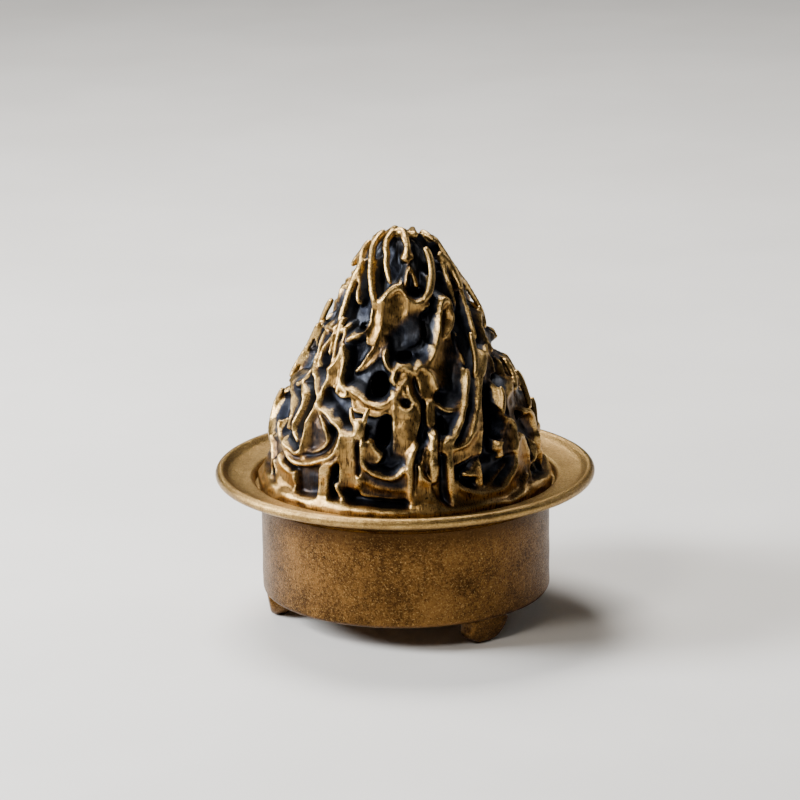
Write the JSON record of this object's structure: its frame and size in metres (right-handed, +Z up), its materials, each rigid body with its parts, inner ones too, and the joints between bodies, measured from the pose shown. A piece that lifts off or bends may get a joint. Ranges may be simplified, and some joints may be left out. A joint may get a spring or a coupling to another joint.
{
  "type": "incense burner",
  "caption": "Small round brass incense burner: a footed cup with a wide brim and a tall pierced mountain-shaped lid that lifts off its seat.",
  "frame": {"origin": "on the table, under the middle of the cup", "axes": "+Z up along the axis of the cup, +X to the right seen from the front, -Y towards the front"},
  "size_m": [0.06, 0.06, 0.0619],
  "materials": {
    "cup_brass": "antiqued brown-gold brass with a fine blasted and scratched grain",
    "brim_brass": "satin turned brass, brighter on the rolled lip",
    "lid_brass": "cast brass with a blue-black patina, rubbed bright on its raised edges",
    "glass_felt": "matt needled glass-fibre felt, scorched in the middle",
    "incense": "matt pressed wood powder with a pale ash tip"
  },
  "bodies": {
    "base": {"cup_body": "cup_brass", "brim_dish": "brim_brass", "foot_front_right": "cup_brass", "foot_left": "cup_brass", "foot_rear": "cup_brass"},
    "lid": {"lid": "lid_brass"},
    "mat": {"fire_mat": "glass_felt"},
    "cone": {"incense_cone": "incense"}
  },
  "joints": [
    {"name": "lid_lift", "type": "slide", "parent": "base", "child": "lid", "axis": [0, 0, 1], "range_m": [0, 0.06]},
    {"name": "mat_lift", "type": "slide", "parent": "base", "child": "mat", "axis": [0, 0, 1], "range_m": [0, 0.0125]},
    {"name": "cone_lift", "type": "slide", "parent": "mat", "child": "cone", "axis": [0, 0, 1], "range_m": [0, 0.015]}
  ]
}
